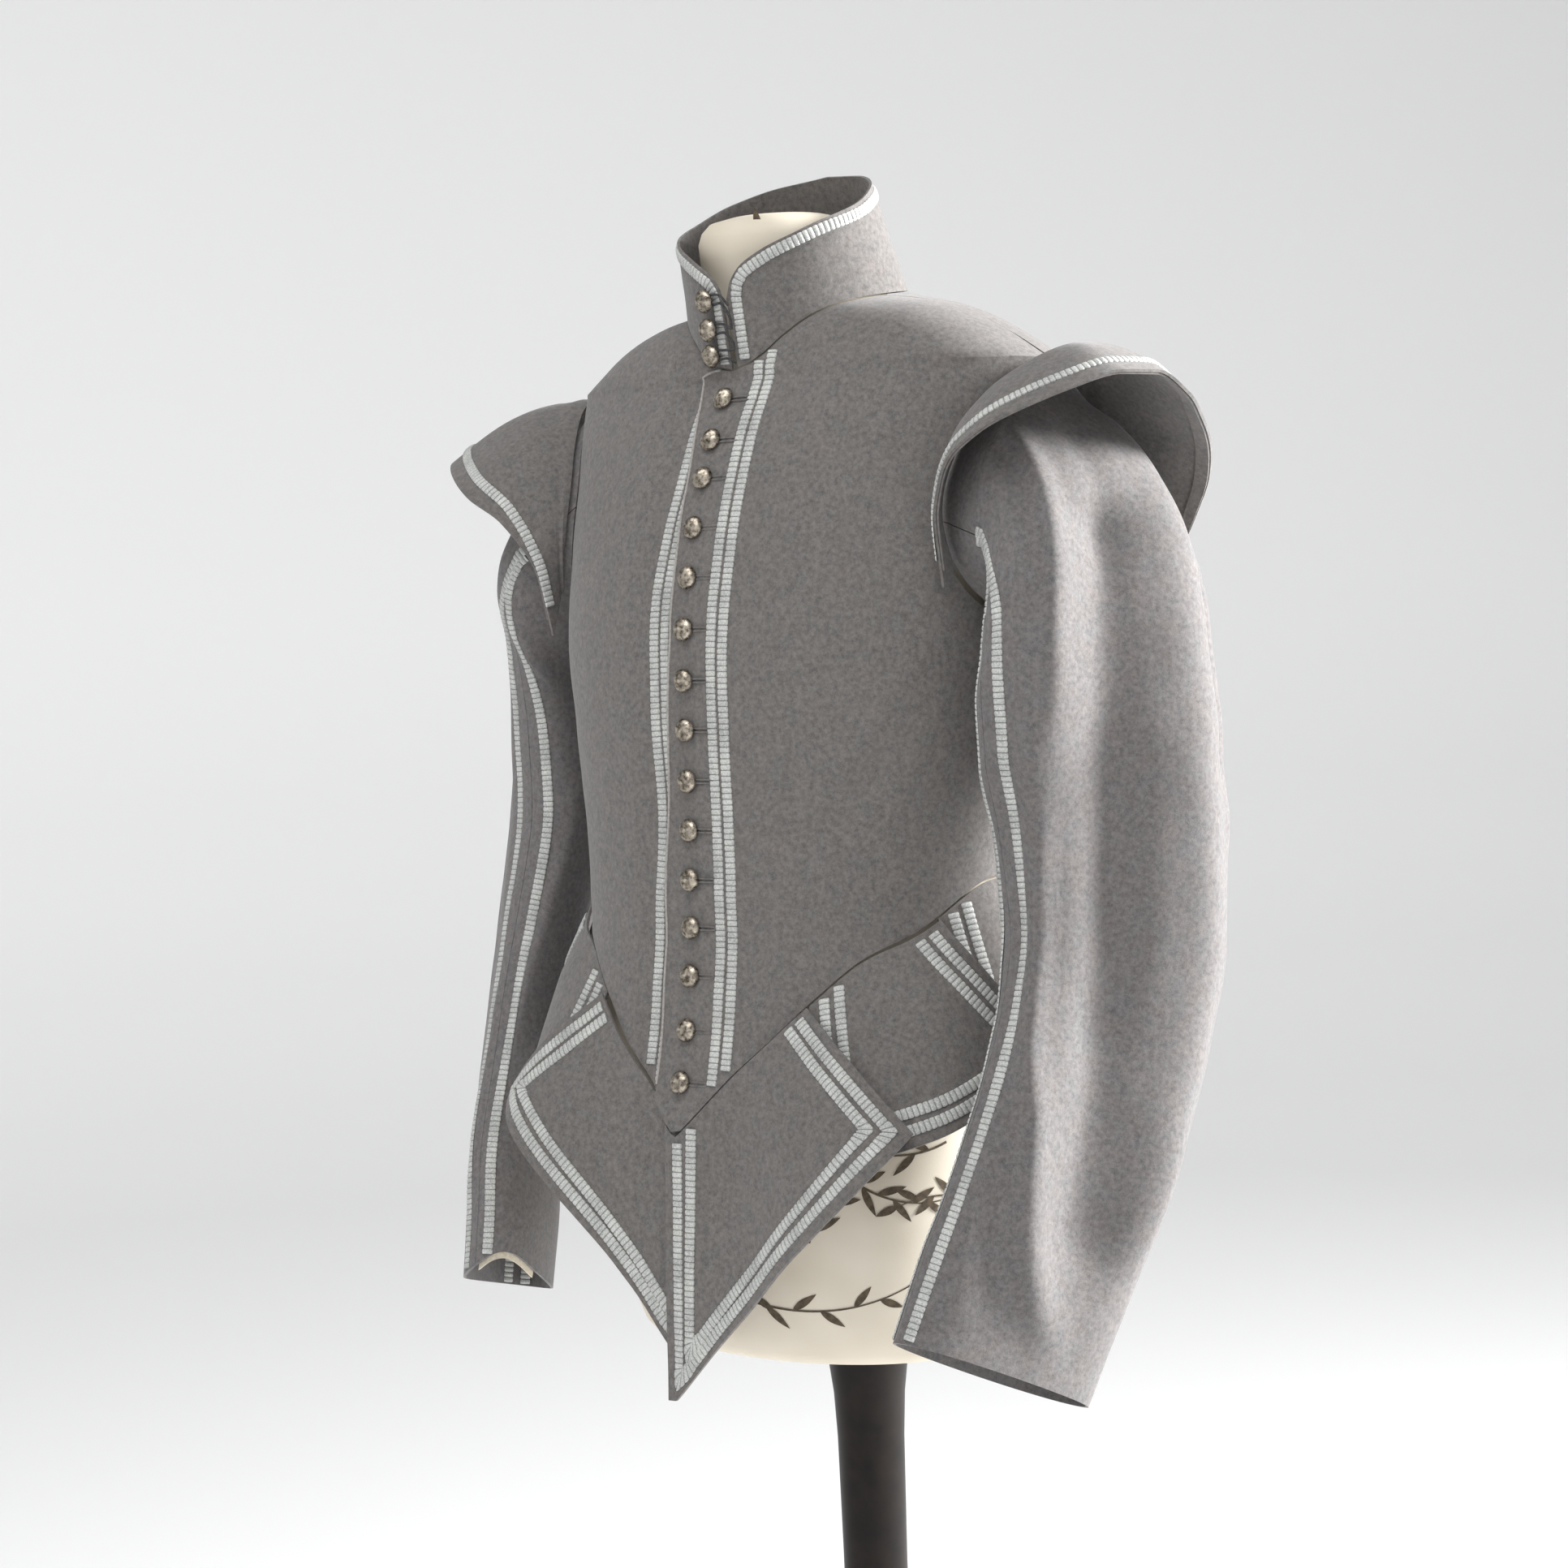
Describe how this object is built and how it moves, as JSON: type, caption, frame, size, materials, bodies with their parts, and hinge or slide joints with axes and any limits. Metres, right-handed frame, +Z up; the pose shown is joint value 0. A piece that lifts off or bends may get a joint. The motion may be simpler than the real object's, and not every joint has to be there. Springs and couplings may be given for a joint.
{
  "type": "doublet on dress form",
  "caption": "Fitted wool doublet with standing collar, shoulder wings, braided edges and pointed waist tabs, worn by a limbless dress form on a post and round base.",
  "frame": {"origin": "centre of the base's flat underside, on the floor", "axes": "+Z up along the post; the form faces -Y; its left side is +X"},
  "size_m": [0.5893, 0.3866, 1.541],
  "materials": {
    "cloth": "mottled mid grey wool flannel, matt",
    "braid": "ribbed silver-grey braid, soft sheen",
    "metal": "antique cast metal, worn and satin",
    "cord": "dark grey cord, matt",
    "lining": "cream linen, matt",
    "cover": "cream cotton cover with a sparse dark stem and leaf print",
    "wood": "near-black brown stain, satin"
  },
  "bodies": {
    "root": {"front_left": "cloth", "front_right": "cloth", "back": "cloth", "collar": "cloth", "wing_left": "cloth", "wing_braid_left": "braid", "sleeve_upper_left": "cloth", "sleeve_under_left": "cloth", "sleeve_braid_outer_left": "braid", "sleeve_braid_inner_left": "braid", "tab_1_left": "cloth", "tab_braid_1_left": "braid", "tab_2_left": "cloth", "tab_braid_2_left": "braid", "tab_3_left": "cloth", "tab_braid_3_left": "braid", "tab_4_left": "cloth", "tab_braid_4_left": "braid", "front_braid_left": "braid", "wing_right": "cloth", "wing_braid_right": "braid", "sleeve_upper_right": "cloth", "sleeve_under_right": "cloth", "sleeve_braid_outer_right": "braid", "sleeve_braid_inner_right": "braid", "tab_1_right": "cloth", "tab_braid_1_right": "braid", "tab_2_right": "cloth", "tab_braid_2_right": "braid", "tab_3_right": "cloth", "tab_braid_3_right": "braid", "tab_4_right": "cloth", "tab_braid_4_right": "braid", "front_braid_right": "braid", "collar_braid": "braid", "button_01": "metal", "button_02": "metal", "button_03": "metal", "button_04": "metal", "button_05": "metal", "button_06": "metal", "button_07": "metal", "button_08": "metal", "button_09": "metal", "button_10": "metal", "button_11": "metal", "button_12": "metal", "button_13": "metal", "button_14": "metal", "button_15": "metal", "button_16": "metal", "button_17": "metal", "button_18": "metal", "collar_loops": "cord", "cuff_lining_right": "lining", "form": "cover", "form_post": "wood", "form_base": "wood"}
  },
  "joints": []
}
